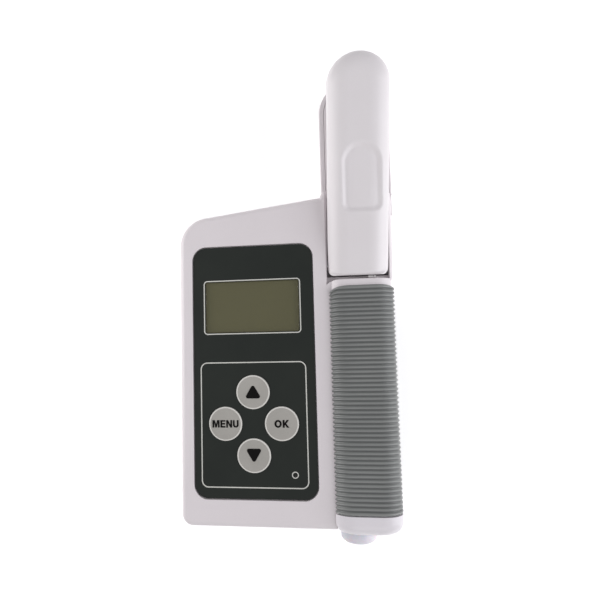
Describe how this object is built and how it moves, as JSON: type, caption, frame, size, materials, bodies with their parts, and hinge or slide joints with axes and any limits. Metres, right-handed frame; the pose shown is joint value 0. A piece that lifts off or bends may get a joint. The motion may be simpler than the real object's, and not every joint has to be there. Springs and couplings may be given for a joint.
{
  "type": "handheld leaf-clip meter",
  "caption": "Handheld leaf-clip meter: slab casing with display and keypad, ribbed side grip, sprung clamp arm over a fixed jaw.",
  "frame": {"origin": "under the middle of the bounding box, on the plane of the flat back", "axes": "+X towards the grip, +Y towards the jaws, +Z out through the keypad"},
  "size_m": [0.086, 0.1876, 0.0411],
  "materials": {
    "casing": "satin moulded white",
    "panel": "dark printed overlay",
    "display": "olive reflective display",
    "window": "clear",
    "key": "warm grey satin",
    "grip": "ribbed matte grey",
    "silicone": "translucent silicone",
    "seal": "closed-cell foam",
    "circuit_board": "green solder mask",
    "black_plastic": "matte black",
    "steel": "bright zinc-plated",
    "cell_wrap": "shrink wrap",
    "led_lens": "clear light pipe"
  },
  "bodies": {
    "casing": {"rear_shell": "casing", "front_shell": "casing", "jaw_cover": "casing", "face_panel": "panel", "lcd_window": "window", "lcd_module": "display", "status_led": "led_lens", "keypad_sheet": "silicone", "main_board": "circuit_board", "processor_chip": "black_plastic", "memory_chip": "black_plastic", "battery_connector": "black_plastic", "buzzer": "black_plastic", "grip_sleeve": "grip", "battery_cell": "cell_wrap", "battery_contact": "steel", "battery_spring": "steel", "spring_plate": "steel", "end_cap": "casing", "power_switch": "black_plastic", "jaw_seal": "seal", "receptor_window": "window", "detector_board": "circuit_board", "hinge_pin": "steel", "return_spring": "steel", "casing_screw_1": "steel", "casing_screw_2": "steel", "casing_screw_3": "steel", "casing_screw_4": "steel", "board_screw_1": "steel", "board_screw_2": "steel", "board_screw_3": "steel", "board_screw_4": "steel"},
    "clamp": {"clamp_arm": "casing", "arm_cover": "casing", "arm_seal": "seal", "emitter_window": "window", "emitter_board": "circuit_board", "arm_screw_1": "steel", "arm_screw_2": "steel"},
    "key_up": {"key_up": "key"},
    "key_down": {"key_down": "key"},
    "key_menu": {"key_menu": "key"},
    "key_ok": {"key_ok": "key"},
    "button": {"power_button": "silicone", "switch_plunger": "black_plastic"}
  },
  "joints": [
    {"name": "clamp_hinge", "type": "hinge", "parent": "casing", "child": "clamp", "pos_m": [0.0284, 0.0154, 0.02], "axis": [-1, 0, 0], "range_deg": [0, 10], "stiffness_Nm_per_rad": 0.35, "springref_deg": -20.05},
    {"name": "key_up_press", "type": "slide", "parent": "casing", "child": "key_up", "axis": [0, 0, -1], "range_m": [0, 0.0006], "stiffness_N_per_m": 1500, "springref_m": -0.0004},
    {"name": "key_down_press", "type": "slide", "parent": "casing", "child": "key_down", "axis": [0, 0, -1], "range_m": [0, 0.0006], "stiffness_N_per_m": 1500, "springref_m": -0.0004},
    {"name": "key_menu_press", "type": "slide", "parent": "casing", "child": "key_menu", "axis": [0, 0, -1], "range_m": [0, 0.0006], "stiffness_N_per_m": 1500, "springref_m": -0.0004},
    {"name": "key_ok_press", "type": "slide", "parent": "casing", "child": "key_ok", "axis": [0, 0, -1], "range_m": [0, 0.0006], "stiffness_N_per_m": 1500, "springref_m": -0.0004},
    {"name": "power_press", "type": "slide", "parent": "casing", "child": "button", "axis": [0, 1, 0], "range_m": [0, 0.0015], "stiffness_N_per_m": 1200, "springref_m": -0.0005}
  ]
}
